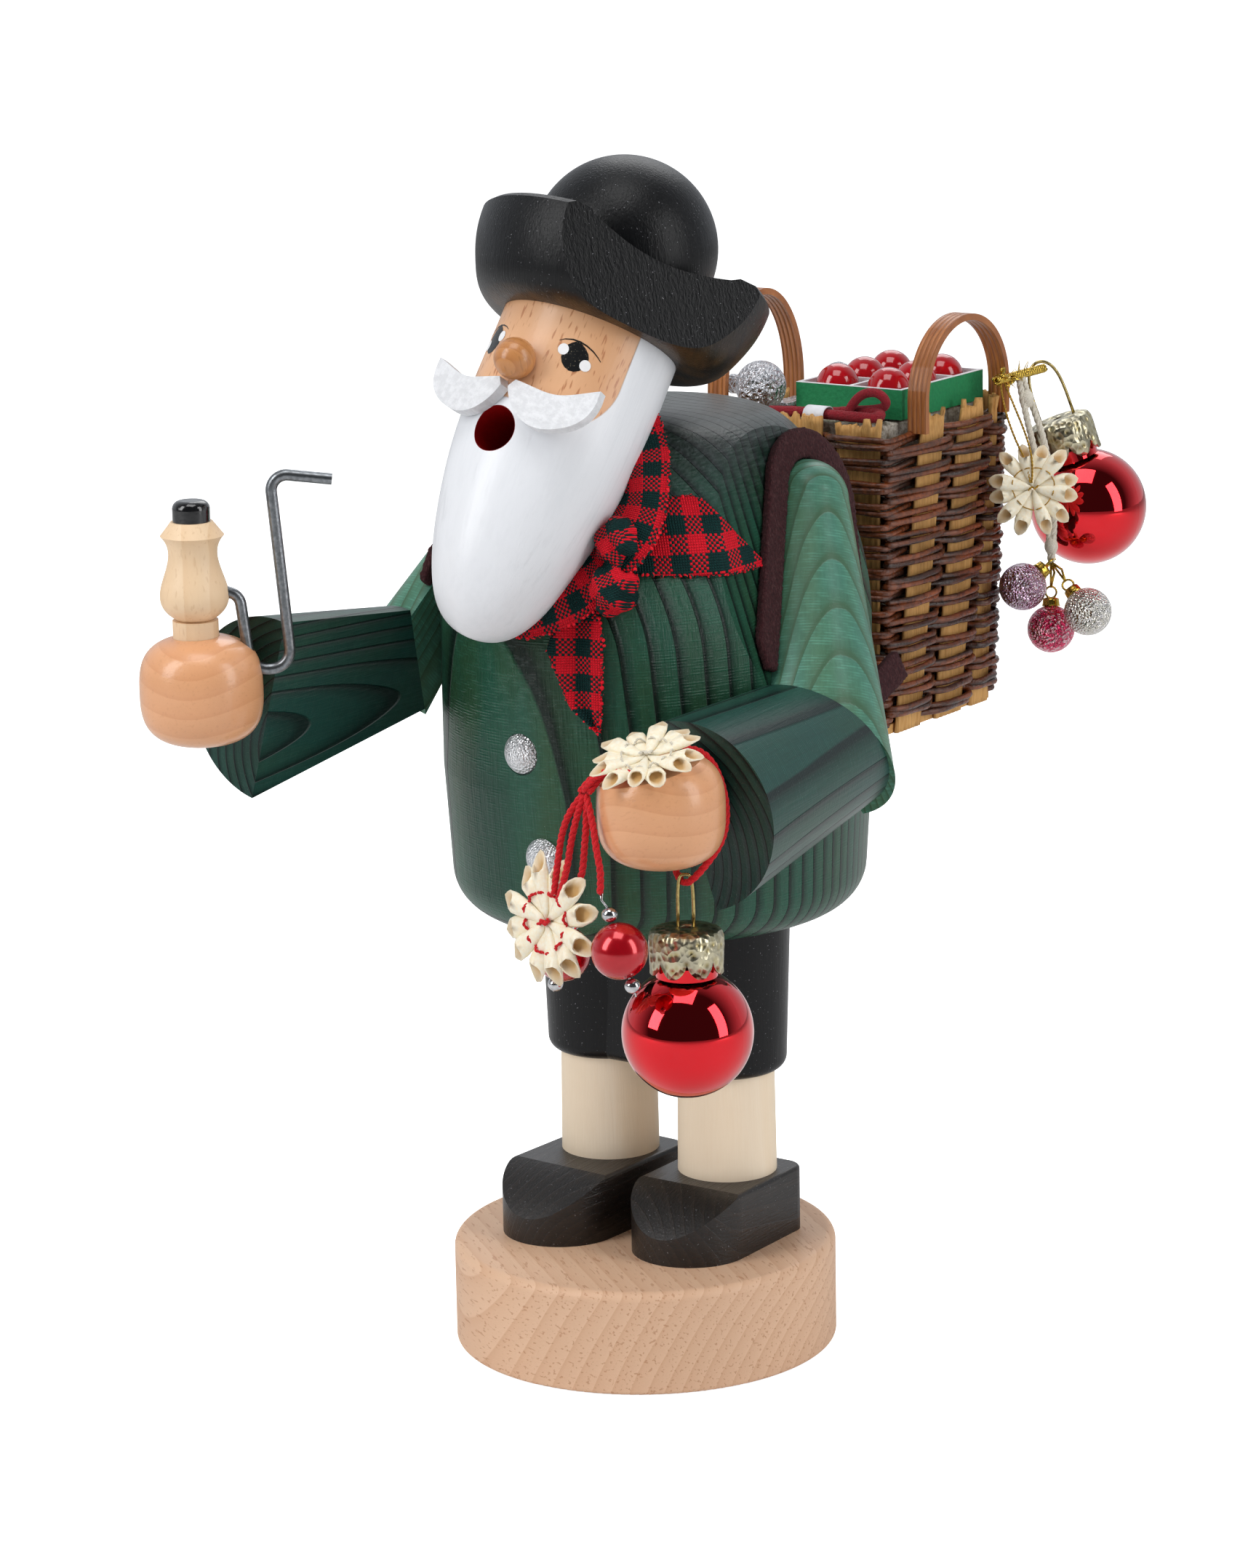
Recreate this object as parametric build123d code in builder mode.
from build123d import *
import math
import os

os.makedirs("parts", exist_ok=True)

# A carved and turned wooden incense smoker: a pedlar who stands on a beech disc, with a hollow coat that
# lifts off its peg, a tilted bearded head, two sawn and mitred arms, a pipe, and a woven basket of tree
# ornaments on the back. Millimetres, +Z up, the figure faces -Y and its left hand is at +X. The origin is
# the middle of the underside of the disc.

# Clearances
glue_gap = 0.05
lift_gap = 0.3
weave_gap = 0.15
overrun = 1.0

# Base disc
base_radius = 32.0
base_height = 17.4
base_edge = 1.5
base_foot_edge = 0.6

# Shoes, flat on top behind a straight crease, with a sloping round toe
foot_spacing = 11.87
shoe_half_width = 10.0
left_shoe_toe_y = -13.6
right_shoe_toe_y = -16.2
shoe_heel_y = 16.5
shoe_height = 11.1
shoe_slope_length = 9.8
shoe_toe_height = 4.4
shoe_slope_bulge = 0.9
shoe_corner = 3.2
shoe_edge = 0.7
right_shoe_splay = -3.0
left_shoe_splay = 0.0

# Legs and the dowels that pin them through the shoes into the disc
leg_y = 7.45
leg_radius = 8.3
leg_top_radius = 8.0
leg_socket_depth = 7.5
leg_dowel_radius = 2.5
leg_dowel_depth = 8.0

# Trousers: one block with a round lobe over each leg
trousers_bottom = 46.2
trousers_top = 73.4
trousers_radius = 11.0
trousers_taper = 0.9
trousers_bridge_half_y = 8.6
trousers_edge = 2.2

# Peg on the trousers, with the tin dish for the incense cone nailed on it
spigot_radius = 13.0
spigot_height = 7.0
spigot_edge = 0.8
spigot_pin_radius = 4.0
spigot_pin_depth = 10.0
plate_radius = 10.5
plate_thickness = 0.4
plate_rim = 1.6
nail_radius = 0.6
nail_head_radius = 1.6
nail_head_height = 0.5
nail_length = 6.0

# Coat: a turned body, with a flat sawn on each side for the arms, and hollow for the smoke
coat_y = 6.4
coat_radius = 35.4
coat_foot_radius = 33.9
coat_foot_edge = 7.4
coat_waist_z = 98.0
coat_shoulder_z = 121.5
coat_top_z = 162.6
coat_faced_z = 157.0
coat_crown_radius = 7.0
chamber_top_z = 128.0
drill_tip_angle = 59.0

# The arm flats, which lean in towards the top
flat_x = 32.0
flat_z = 115.0
flat_tilt = 15.64

# Arms, each half of a turned taper, sawn through the elbow and glued at a new angle. Places are given on
# the flat as forward and up from the point (flat_x, 0, flat_z)
cuff_radius = 15.25
left_elbow_radius = 12.3
right_elbow_radius = 9.9
left_shoulder_radius = 6.8
right_shoulder_radius = 5.8
left_elbow = (0.8, -10.8)
left_cuff = (37.95, -13.95)
left_shoulder = (-14.3, 27.6)
right_elbow = (16.0, -0.6)
right_cuff = (55.2, -1.1)
right_shoulder = (-7.6, 31.4)
arm_dowel_radius = 2.0
arm_dowel_reach = 5.0
shoulder_dowel_drop = 9.0
wrist_dowel_reach = 7.0

# Hands, a round bead each, glued off centre on the cuffs. The left one has a flat sawn on top
left_hand_radius = 9.85
right_hand_radius = 9.7
hand_height_share = 0.91
hand_flat_height = 6.3
hand_flat_pitch = 7.6
hand_flat_roll = -11.0
left_hand_stand_off = 9.7
right_hand_stand_off = 9.4
left_hand_rise = 3.7
left_hand_out = 2.55
right_hand_rise = 3.1
right_hand_out = 6.7

# Head: a turned taper glued to a slanting flat on the coat. s is measured down the head from the hat
head_origin = (2.5, -13.6, 171.0)
head_tilt = 31.0
head_lean = 6.2
head_radius = 14.4
head_cheek_radius = 14.1
head_cheek_s = 25.0
head_beard_radius = 12.0
head_beard_s = 37.0
head_chin_radius = 9.0
head_chin_s = 46.0
head_length = 52.6
head_into_hat = 3.0
head_seat_depth = 8.6
head_seat_s = 9.0
head_notch_s = 1.0

# Mouth, bored square to the head, through the seat and into the chamber
mouth_radius = 3.7
mouth_s = 22.6
mouth_reach = 42.0

# Nose and moustache
nose_radius = 3.3
nose_s = 11.7
nose_x = 0.8
nose_sink = 0.9
face_gap = 0.25
moustache_thickness = 2.0
moustache_half = 15.9
moustache_bend = 9.5
moustache_middle_s = 16.1
moustache_x = 0.8

# Hat: crown and brim turned as one, a flat sawn on both sides of the brim, worn turned to one side
hat_rise = 13.6
hat_extra_tilt = -1.2
hat_extra_azimuth = 34.8
hat_turn = 49.3
crown_radius = 14.9
crown_lift = 1.0
brim_shift = 1.0
brim_radius = 24.2
brim_depth = 14.6
brim_foot_radius = 15.6
brim_belly_radius = 22.3
brim_belly_depth = 9.3
brim_wall = 3.4
brim_flat = 17.0
brim_far_flat = 15.4
brim_edge = 0.8

# Coat buttons, domed nails
button_radius = 3.35
button_height = 1.9
button_sink = 0.35
button_places = ((-2.5, 105.1), (1.3, 88.3))

# Pipe: turned bowl, black lid and a bent wire stem
pipe_shift_x = -0.4
pipe_shift_y = -0.3
pipe_sink = 1.0
pipe_bead_radius = 3.6
pipe_bead_height = 3.4
pipe_neck_radius = 2.7
pipe_belly_radius = 5.35
pipe_belly_z = 7.9
pipe_waist_radius = 3.85
pipe_waist_z = 13.6
pipe_flare_radius = 5.0
pipe_flare_z = 16.8
pipe_top_radius = 3.3
pipe_top_z = 19.0
lid_radius = 2.95
lid_height = 3.3
lid_edge = 1.3
stem_radius = 0.9
stem_azimuth = 38.0
stem_bends = (2.2, 3.0, 3.0, 2.4)

# Felt shoulder straps
strap_width = 5.0
strap_thickness = 1.5
strap_tip = 10.5
strap_full = 15.0
strap_leave = 12.0
strap_back_forward = -26.0
strap_back_up = -3.0
strap_end_x = 13.0
strap_end_z = 101.0

# Gingham neckerchief
scarf_thickness = 0.9
scarf_lift = 0.1
scarf_collar_half_x = 20.6
scarf_collar_half_s = 22.5
scarf_collar_s = 26.5
scarf_collar_thickness = 2.8
knot_x = 14.8
knot_z = 137.0
knot_radius = 4.1
knot_upper_rise = 3.2
knot_lower_drop = 3.8
front_tail_x = 14.0
tail_length = 28.0
side_tail_length = 20.0
side_tail_azimuth = 45.0
side_tail_z = 140.0

# Basket, woven of round rods over flat splints
basket_x = 1.2
basket_y = 68.4
basket_bottom = 94.6
basket_rim = 146.0
basket_half_x = 19.4
basket_half_y = 20.8
basket_taper = 1.6
stake_thickness = 0.8
stake_width = 8.6
stake_foot_width = 7.8
stake_stub = 2.6
weaver_thickness = 1.1
weaver_height = 2.3
weaver_rows = 18
weaver_margin = 0.3
side_stakes = 3
stake_spacing_share = 0.65
floor_thickness = 1.6
packing_top = 147.9
packing_margin = 2.2

# Basket handles, a split cane bent over each side
handle_width = 3.6
handle_thickness = 1.1
left_handle_half_span = 14.1
right_handle_half_span = 12.65
left_handle_y = 72.1
right_handle_y = 62.95
handle_spring_z = 151.0
left_handle_top = 164.6
right_handle_top = 168.0
handle_foot_gap = 0.05

# Tray of small baubles
tray_x = 5.4
tray_y = 71.6
tray_half_x = 10.6
tray_half_y = 13.6
tray_height = 5.2
tray_wall = 0.7
tray_columns = 2
tray_rows = 3
tray_ball_radius = 3.7

# Silver trinkets and the red cord beside the tray
ornament_x = -10.6
ornament_y = 55.2
ornament_radius = 4.4
ornament_cap_radius = 1.7
ornament_cap_height = 1.6
trinket_bead_radius = 2.6
trinket_bead_x = -11.0
trinket_bead_y = 81.0
fork_x = -11.0
fork_y = 68.0
fork_length = 13.0
fork_width = 3.6
fork_thickness = 0.6
bow_tube = 0.9
bow_y = 52.6
bow_half = 10.5
bow_x = 4.0

# Back peg that carries the basket
back_peg_radius = 3.0
back_peg_z = 118.0
back_peg_depth = 7.0
back_peg_length = 13.6

# Gold thread tied to the rear foot of the left handle
tie_radius = 0.5
tie_x = 21.3
tie_z = 152.0
tie_near_y = 80.6
tie_far_y = 97.4

# Christmas baubles with ribbed metal caps and wire loops
hand_ball_radius = 10.2
rear_ball_radius = 10.2
ball_neck_radius_share = 0.47
ball_neck_top_share = 1.08
cap_radius_share = 0.583
cap_base_share = 1.0
cap_height_share = 0.61
cap_edge = 0.8
wire_radius = 0.35
loop_inner = 1.3
hand_bauble_x = 39.65
hand_bauble_y = -44.95
hand_bauble_z = 93.2
hand_ball_drop = 23.6
rear_ball_x = 28.45
rear_ball_y = 100.6
rear_ball_z = 127.55
rear_hook_y = 96.0

# Yarn that holds the bauble in the gap behind the left hand
yarn_radius = 0.6
sling_reach = 6.9
sling_wrist = 0.8
sling_bottom = 1.3
sling_bend = 1.1

# Straw stars
star_petals = 12
star_waist_share = 0.62
star_thickness = 1.5
hand_star_radius = 8.1
hand_star_aside = 0.2
hand_star_front = 3.7
hand_star_rise = 8.5
hand_star_azimuth = 3.1
hand_star_height = 68.7
charm_star_radius = 9.6
charm_star_x = 21.8
charm_star_y = -56.0
charm_star_z = 87.2
charm_star_azimuth = -14.0
charm_star_height = 5.0
rear_star_radius = 7.4
rear_star_azimuth = 34.7
rear_star_height = 13.4
rear_star_x = 28.0
rear_star_y = 81.7
rear_star_z = 133.6
rear_star_hook_y = 82.6

# Pearls and the strands they hang from
pearl_radius = 4.35
pearl_x = 36.3
pearl_y = -58.0
pearl_z = 85.05
second_pearl_x = 19.7
second_pearl_y = -49.5
second_pearl_z = 80.3
charms_x = 28.7
charms_y = -56.0
charms_z = 107.5
strand_radius = 0.5
knot_bead_radius = 1.5

# Glitter balls on a cotton cord
glitter_radius = 4.15
cluster_hook_y = 88.8
cluster_end_x = 27.6
cluster_end_z = 119.4
cotton_radius = 0.8
lilac_x = 24.6
lilac_y = 84.2
lilac_z = 115.5
pink_x = 28.9
pink_y = 86.6
pink_z = 108.0
silver_x = 36.5
silver_y = 86.1
silver_z = 111.9


def finish_piece(piece, name):
    """Label a finished piece and write it."""
    piece.part.label = name
    export_step(piece.part, "parts/" + name + ".step")


# Stand

leg_bottom_z = base_height + shoe_height
leg_top_z = trousers_bottom + leg_socket_depth
leg_places = [(-foot_spacing, leg_y), (foot_spacing, leg_y)]
dowel_bottom_z = base_height - leg_dowel_depth
dowel_top_z = leg_bottom_z + leg_dowel_depth

with BuildPart() as base_disc:
    Cylinder(base_radius, base_height, align=(Align.CENTER, Align.CENTER, Align.MIN))
    fillet(base_disc.edges().sort_by(Axis.Z)[-1], base_edge)
    fillet(base_disc.edges().sort_by(Axis.Z)[0], base_foot_edge)
    with Locations(*[(x, y, dowel_bottom_z) for x, y in leg_places]):
        Cylinder(leg_dowel_radius + glue_gap, leg_dowel_depth + overrun,
                 align=(Align.CENTER, Align.CENTER, Align.MIN), mode=Mode.SUBTRACT)
finish_piece(base_disc, "base_disc")

slope_middle_z = leg_bottom_z - (shoe_height - shoe_toe_height) / 2 + shoe_slope_bulge


def shoe(centre_x, toe_y, splay):
    """A block sawn to a D in plan and shaved down from the crease to a low round toe."""
    crease_y = toe_y + shoe_slope_length
    turned = math.radians(splay)
    sole = Plane((centre_x, leg_y, 0), x_dir=(math.cos(turned), math.sin(turned), 0), z_dir=(0, 0, 1))
    toe_middle = toe_y + shoe_half_width - leg_y
    heel = shoe_heel_y - leg_y
    with BuildPart() as block:
        with BuildSketch(sole.offset(base_height)) as plan:
            with Locations((0, toe_middle)):
                Circle(shoe_half_width)
            with Locations((0, (toe_middle + heel) / 2)):
                Rectangle(2 * shoe_half_width, heel - toe_middle)
            fillet(plan.vertices().group_by(Axis.Y)[-1], shoe_corner)
        extrude(amount=shoe_height)
        fillet(block.edges().group_by(Axis.Z)[-1], shoe_edge)
        side_start = sole.from_local_coords(Vector(-2 * shoe_half_width, -leg_y, 0))
        with BuildSketch(Plane(side_start, x_dir=sole.y_dir, z_dir=sole.x_dir)):
            with BuildLine():
                toe = (toe_y, base_height + shoe_toe_height)
                crease = (crease_y, leg_bottom_z)
                ThreePointArc(toe, ((crease_y + toe_y) / 2, slope_middle_z), crease)
                Polyline(crease, (crease_y, leg_bottom_z + overrun),
                         (toe_y - overrun, leg_bottom_z + overrun),
                         (toe_y - overrun, base_height + shoe_toe_height), toe)
            make_face()
        extrude(amount=4 * shoe_half_width, mode=Mode.SUBTRACT)
        with Locations((centre_x, leg_y, base_height - overrun)):
            Cylinder(leg_dowel_radius + glue_gap, shoe_height + 2 * overrun,
                     align=(Align.CENTER, Align.CENTER, Align.MIN), mode=Mode.SUBTRACT)
    return block


def leg(centre_x):
    """A slightly tapered round leg, bored from below for its dowel."""
    with BuildPart() as post:
        with BuildSketch(Plane.XY.offset(leg_bottom_z)):
            with Locations((centre_x, leg_y)):
                Circle(leg_radius)
        with BuildSketch(Plane.XY.offset(leg_top_z)):
            with Locations((centre_x, leg_y)):
                Circle(leg_top_radius)
        loft()
        with Locations((centre_x, leg_y, leg_bottom_z - overrun)):
            Cylinder(leg_dowel_radius + glue_gap, leg_dowel_depth + overrun,
                     align=(Align.CENTER, Align.CENTER, Align.MIN), mode=Mode.SUBTRACT)
    return post


for side, centre_x, toe_y, splay in (("right", -foot_spacing, right_shoe_toe_y, right_shoe_splay),
                                     ("left", foot_spacing, left_shoe_toe_y, left_shoe_splay)):
    finish_piece(shoe(centre_x, toe_y, splay), side + "_shoe")
    finish_piece(leg(centre_x), side + "_leg")

with BuildPart() as leg_dowels:
    with Locations(*[(x, y, dowel_bottom_z) for x, y in leg_places]):
        Cylinder(leg_dowel_radius, dowel_top_z - dowel_bottom_z,
                 align=(Align.CENTER, Align.CENTER, Align.MIN))
finish_piece(leg_dowels, "leg_dowels")

with BuildPart() as trouser_lobes:
    for centre_x, y in leg_places:
        with BuildSketch(Plane((centre_x, y, trousers_bottom))):
            Circle(trousers_radius - trousers_taper)
        with BuildSketch(Plane((centre_x, y, trousers_top))):
            Circle(trousers_radius)
        loft()
    fillet(trouser_lobes.edges().group_by(Axis.Z)[0], trousers_edge)

with BuildPart() as trouser_bridge:
    with Locations((0, leg_y, trousers_bottom)):
        Box(2 * foot_spacing, 2 * trousers_bridge_half_y, trousers_top - trousers_bottom,
            align=(Align.CENTER, Align.CENTER, Align.MIN))
    fillet(trouser_bridge.edges().group_by(Axis.Z)[0].filter_by(Axis.X), trousers_edge)

with BuildPart() as trousers:
    add(trouser_lobes.part)
    add(trouser_bridge.part)
    with Locations(*[(x, y, trousers_bottom - overrun) for x, y in leg_places]):
        Cylinder(leg_radius + glue_gap, leg_socket_depth + overrun,
                 align=(Align.CENTER, Align.CENTER, Align.MIN), mode=Mode.SUBTRACT)
    with Locations((0, coat_y, trousers_top + overrun)):
        Cylinder(spigot_pin_radius + glue_gap, spigot_pin_depth + overrun,
                 align=(Align.CENTER, Align.CENTER, Align.MAX), mode=Mode.SUBTRACT)
finish_piece(trousers, "trousers")

spigot_top_z = trousers_top + spigot_height
nail_point_z = spigot_top_z + plate_thickness - nail_length
with BuildPart() as spigot:
    with Locations((0, coat_y, trousers_top)):
        Cylinder(spigot_radius, spigot_height, align=(Align.CENTER, Align.CENTER, Align.MIN))
    fillet(spigot.edges().sort_by(Axis.Z)[-1], spigot_edge)
    with Locations((0, coat_y, trousers_top)):
        Cylinder(spigot_pin_radius, spigot_pin_depth, align=(Align.CENTER, Align.CENTER, Align.MAX))
    with Locations((0, coat_y, nail_point_z)):
        Cylinder(nail_radius + glue_gap, nail_length, align=(Align.CENTER, Align.CENTER, Align.MIN),
                 mode=Mode.SUBTRACT)
finish_piece(spigot, "spigot")

with BuildPart() as cone_plate:
    with BuildSketch(Plane.XZ.offset(-coat_y)):
        with BuildLine():
            inner_radius = plate_radius - plate_rim
            low = spigot_top_z
            high = spigot_top_z + plate_rim
            start = nail_radius + glue_gap
            Polyline((start, low), (inner_radius, low), (plate_radius, high),
                     (plate_radius - plate_thickness, high),
                     (inner_radius - plate_thickness, low + plate_thickness),
                     (start, low + plate_thickness), (start, low))
        make_face()
    revolve(axis=Axis((0, coat_y, 0), (0, 0, 1)))
finish_piece(cone_plate, "cone_plate")

nail_head_z = spigot_top_z + plate_thickness
with BuildPart() as plate_nail:
    with Locations((0, coat_y, nail_head_z)):
        Cylinder(nail_radius, nail_length, align=(Align.CENTER, Align.CENTER, Align.MAX))
        Cylinder(nail_head_radius, nail_head_height, align=(Align.CENTER, Align.CENTER, Align.MIN))
    fillet(plate_nail.edges().sort_by(Axis.Z)[-1], nail_head_height / 2)
finish_piece(plate_nail, "plate_nail")


# Frames that the figure's pieces are placed on

head_plane = Plane(Location(head_origin, (-head_tilt, head_lean, 0)))


def on_head(x, y, s):
    """A point of the head: x to its left, y to its back, s down from the hat."""
    return head_plane.from_local_coords(Vector(x, y, -s))


def square_to_head(s):
    """A sketch plane on the head whose normal points out of the face."""
    return Plane(on_head(0, 0, s), x_dir=head_plane.x_dir, z_dir=-head_plane.y_dir)


flat_out = Vector(math.cos(math.radians(flat_tilt)), 0, math.sin(math.radians(flat_tilt)))


def arm_plane(side):
    """The flat for one arm: its normal points out of the coat and its y axis up."""
    normal = Vector(side * flat_out.X, 0, flat_out.Z)
    return Plane((side * flat_x, 0, flat_z), x_dir=(0, side, 0), z_dir=normal)


def on_flat(side, forward, up, out=0):
    """A point given as forward and up along an arm flat, and out from it."""
    return arm_plane(side).from_local_coords(Vector(-side * forward, up, out))


def flat_place(side, point):
    """Forward and up turned into the flat plane's own coordinates."""
    return (-side * point[0], point[1])


# Coat

shoulder_height = coat_top_z - coat_shoulder_z
shoulder_angles = (0, 15, 30, 45)


def dome_place(angle, grow):
    """A point of the coat's oval shoulder line, at an angle up from its widest place."""
    return ((coat_radius + grow) * math.cos(math.radians(angle)),
            coat_shoulder_z + (shoulder_height + grow) * math.sin(math.radians(angle)))


def coat_form(grow):
    """The turned coat with its two arm flats, without any bore, larger all round by grow."""
    with BuildPart() as form:
        with BuildSketch(Plane.XZ.offset(-coat_y)) as half_outline:
            with BuildLine():
                Polyline((0, trousers_top - grow), (coat_foot_radius + grow, trousers_top - grow),
                         (coat_radius + grow, coat_waist_z), (coat_radius + grow, coat_shoulder_z))
                dome = [dome_place(angle, grow) for angle in shoulder_angles]
                crown = (coat_crown_radius, coat_faced_z + grow)
                Spline(*dome, crown, tangents=[(0, 1), (-1, 0)])
                Polyline(crown, (0, crown[1]), (0, trousers_top - grow))
            make_face()
            low_corner = half_outline.vertices().group_by(Axis.Y)[0].sort_by(Axis.X)[-1]
            fillet(low_corner, coat_foot_edge)
        revolve(axis=Axis((0, coat_y, 0), (0, 0, 1)))
        for side in (-1, 1):
            with BuildSketch(arm_plane(side).offset(grow)):
                Rectangle(4 * coat_radius, 4 * coat_radius)
            extrude(amount=coat_radius, mode=Mode.SUBTRACT)
    return form


def arm_axis(side, start, end):
    """Start, direction and length of a taper that lies along an arm flat, as flat coordinates."""
    x0, y0 = flat_place(side, start)
    x1, y1 = flat_place(side, end)
    length = math.hypot(x1 - x0, y1 - y0)
    return Vector(x0, y0), Vector((x1 - x0) / length, (y1 - y0) / length), length


def button_seat(place_x):
    """How far forward a button's seat lies on the coat."""
    return coat_y - math.sqrt(coat_radius**2 - place_x**2) + button_sink


shoulder_dowel_plane = {}
for side, elbow, shoulder in ((1, left_elbow, left_shoulder), (-1, right_elbow, right_shoulder)):
    start, along, length = arm_axis(side, elbow, shoulder)
    place = start + along * (length - shoulder_dowel_drop)
    origin = arm_plane(side).from_local_coords(Vector(place.X, place.Y, -arm_dowel_reach))
    shoulder_dowel_plane[side] = Plane(origin, x_dir=arm_plane(side).x_dir, z_dir=arm_plane(side).z_dir)

back_peg_plane = Plane((basket_x, coat_y + coat_radius - back_peg_depth, back_peg_z), x_dir=(-1, 0, 0),
                       z_dir=(0, 1, 0))
chamber_radius = spigot_radius + lift_gap
chamber_tip = chamber_radius / math.tan(math.radians(drill_tip_angle))

with BuildPart() as torso:
    add(coat_form(0).part)
    seat_plane = Plane(on_head(0, head_seat_depth, head_seat_s), x_dir=head_plane.x_dir,
                       z_dir=-head_plane.y_dir)
    with BuildSketch(seat_plane):
        Rectangle(4 * coat_radius, 6 * coat_radius)
    extrude(amount=coat_radius, mode=Mode.SUBTRACT)
    with Locations((0, coat_y, trousers_top)):
        Cylinder(chamber_radius, chamber_top_z - trousers_top,
                 align=(Align.CENTER, Align.CENTER, Align.MIN), mode=Mode.SUBTRACT)
    with Locations((0, coat_y, chamber_top_z)):
        Cone(chamber_radius, 0, chamber_tip, align=(Align.CENTER, Align.CENTER, Align.MIN),
             mode=Mode.SUBTRACT)
    with BuildSketch(square_to_head(mouth_s)):
        Circle(mouth_radius)
    extrude(amount=-mouth_reach, mode=Mode.SUBTRACT)
    for place_x, place_z in button_places:
        seat = Plane((place_x, button_seat(place_x), place_z), x_dir=(1, 0, 0), z_dir=(0, -1, 0))
        with BuildSketch(seat):
            Circle(button_radius + glue_gap)
        extrude(amount=coat_radius / 2, mode=Mode.SUBTRACT)
    with BuildSketch(back_peg_plane):
        Circle(back_peg_radius + glue_gap)
    extrude(amount=coat_radius, mode=Mode.SUBTRACT)
    for side in (1, -1):
        with BuildSketch(shoulder_dowel_plane[side]):
            Circle(arm_dowel_radius + glue_gap)
        extrude(amount=2 * arm_dowel_reach, mode=Mode.SUBTRACT)
finish_piece(torso, "torso")

with BuildPart() as coat_buttons:
    for place_x, place_z in button_places:
        seat_y = button_seat(place_x)
        dome_radius = (button_radius**2 + button_height**2) / (2 * button_height)
        half_angle = math.asin(button_radius / dome_radius) / 2
        middle = (dome_radius * math.sin(half_angle),
                  dome_radius - button_height - dome_radius * math.cos(half_angle))
        with BuildSketch(Plane((place_x, seat_y, place_z), x_dir=(1, 0, 0), z_dir=(0, 0, 1))):
            with BuildLine():
                Line((0, 0), (button_radius, 0))
                ThreePointArc((button_radius, 0), middle, (0, -button_height))
                Line((0, -button_height), (0, 0))
            make_face()
        revolve(axis=Axis((place_x, seat_y, place_z), (0, -1, 0)))
finish_piece(coat_buttons, "coat_buttons")


# Head, nose, moustache

profile_plane = Plane(head_origin, x_dir=head_plane.x_dir, z_dir=-head_plane.y_dir)
head_axis = Axis(head_origin, head_plane.z_dir)


def head_form(grow):
    """The turned head before its flat and its bore, larger all round by grow."""
    with BuildPart() as form:
        with BuildSketch(profile_plane):
            with BuildLine():
                top = head_into_hat + grow
                Polyline((0, -head_length - grow), (0, top), (head_radius + grow, top),
                         (head_radius + grow, 0))
                Spline((head_radius + grow, 0), (head_cheek_radius + grow, -head_cheek_s),
                       (head_beard_radius + grow, -head_beard_s),
                       (head_chin_radius + grow, -head_chin_s), (0, -head_length - grow),
                       tangents=[(0, -1), (-1, 0)])
            make_face()
        revolve(axis=head_axis)
    return form


with BuildPart() as head:
    add(head_form(0).part)
    notch_plane = Plane(on_head(0, head_seat_depth - glue_gap, head_notch_s), x_dir=head_plane.x_dir,
                        z_dir=head_plane.y_dir)
    with BuildSketch(notch_plane):
        Rectangle(4 * head_radius, 4 * head_length, align=(Align.CENTER, Align.MIN))
    extrude(amount=2 * head_radius, mode=Mode.SUBTRACT)
    with BuildSketch(square_to_head(mouth_s)):
        Circle(mouth_radius)
    extrude(amount=2 * head_radius, both=True, mode=Mode.SUBTRACT)
finish_piece(head, "head")

face_front = head_radius + face_gap
nose_depth = head_radius + nose_radius - nose_sink
nose_cut_plane = Plane(on_head(nose_x, -face_front, nose_s), x_dir=head_plane.x_dir,
                       z_dir=head_plane.y_dir)
with BuildPart() as nose:
    with Locations(on_head(nose_x, -nose_depth, nose_s)):
        Sphere(nose_radius)
    with BuildSketch(nose_cut_plane):
        Rectangle(4 * nose_radius, 4 * nose_radius)
    extrude(amount=2 * nose_radius, mode=Mode.SUBTRACT)
finish_piece(nose, "nose")

# Across and down the head as shares of the moustache's half width, from its middle under the nose
moustache_top_shares = ((0.08, -0.074), (0.321, -0.043), (0.556, -0.031), (0.796, -0.1), (1.0, -0.18))
moustache_low_shares = ((1.0, -0.137), (0.858, 0.21), (0.679, 0.302), (0.488, 0.34), (0.302, 0.302),
                        (0.093, 0.13), (0.025, 0.006))


def moustache(side):
    """One curled half, sawn from a thin board."""
    bend = math.radians(moustache_bend)
    out_way = head_plane.x_dir * side * math.sin(bend) - head_plane.y_dir * math.cos(bend)
    side_way = head_plane.x_dir * math.cos(bend) + head_plane.y_dir * side * math.sin(bend)
    board = Plane(on_head(moustache_x, -face_front / math.cos(bend), moustache_middle_s), x_dir=side_way,
                  z_dir=out_way)
    top = [(side * x * moustache_half, -s * moustache_half) for x, s in moustache_top_shares]
    low = [(side * x * moustache_half, -s * moustache_half) for x, s in moustache_low_shares]
    with BuildPart() as half:
        with BuildSketch(board):
            with BuildLine():
                Spline(*top)
                Line(top[-1], low[0])
                Spline(*low)
                Line(low[-1], top[0])
            make_face()
        extrude(amount=moustache_thickness)
    return half


finish_piece(moustache(-1), "right_moustache")
finish_piece(moustache(1), "left_moustache")


# Hat

extra = math.radians(hat_extra_azimuth)
hat_up = (head_plane.z_dir + Vector(math.cos(extra), math.sin(extra), 0)
          * math.tan(math.radians(hat_extra_tilt))).normalized()
turn = math.radians(hat_turn)
flat_way = Vector(math.sin(turn), -math.cos(turn), 0)
flat_way = (flat_way - hat_up * flat_way.dot(hat_up)).normalized()
rim_centre = Vector(*head_origin) + hat_up * hat_rise
hat_front = hat_up.cross(flat_way)
brim_centre = rim_centre + hat_front * brim_shift
brim_inner_radius = brim_radius - brim_wall
groove_radius = crown_radius + brim_edge

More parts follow.
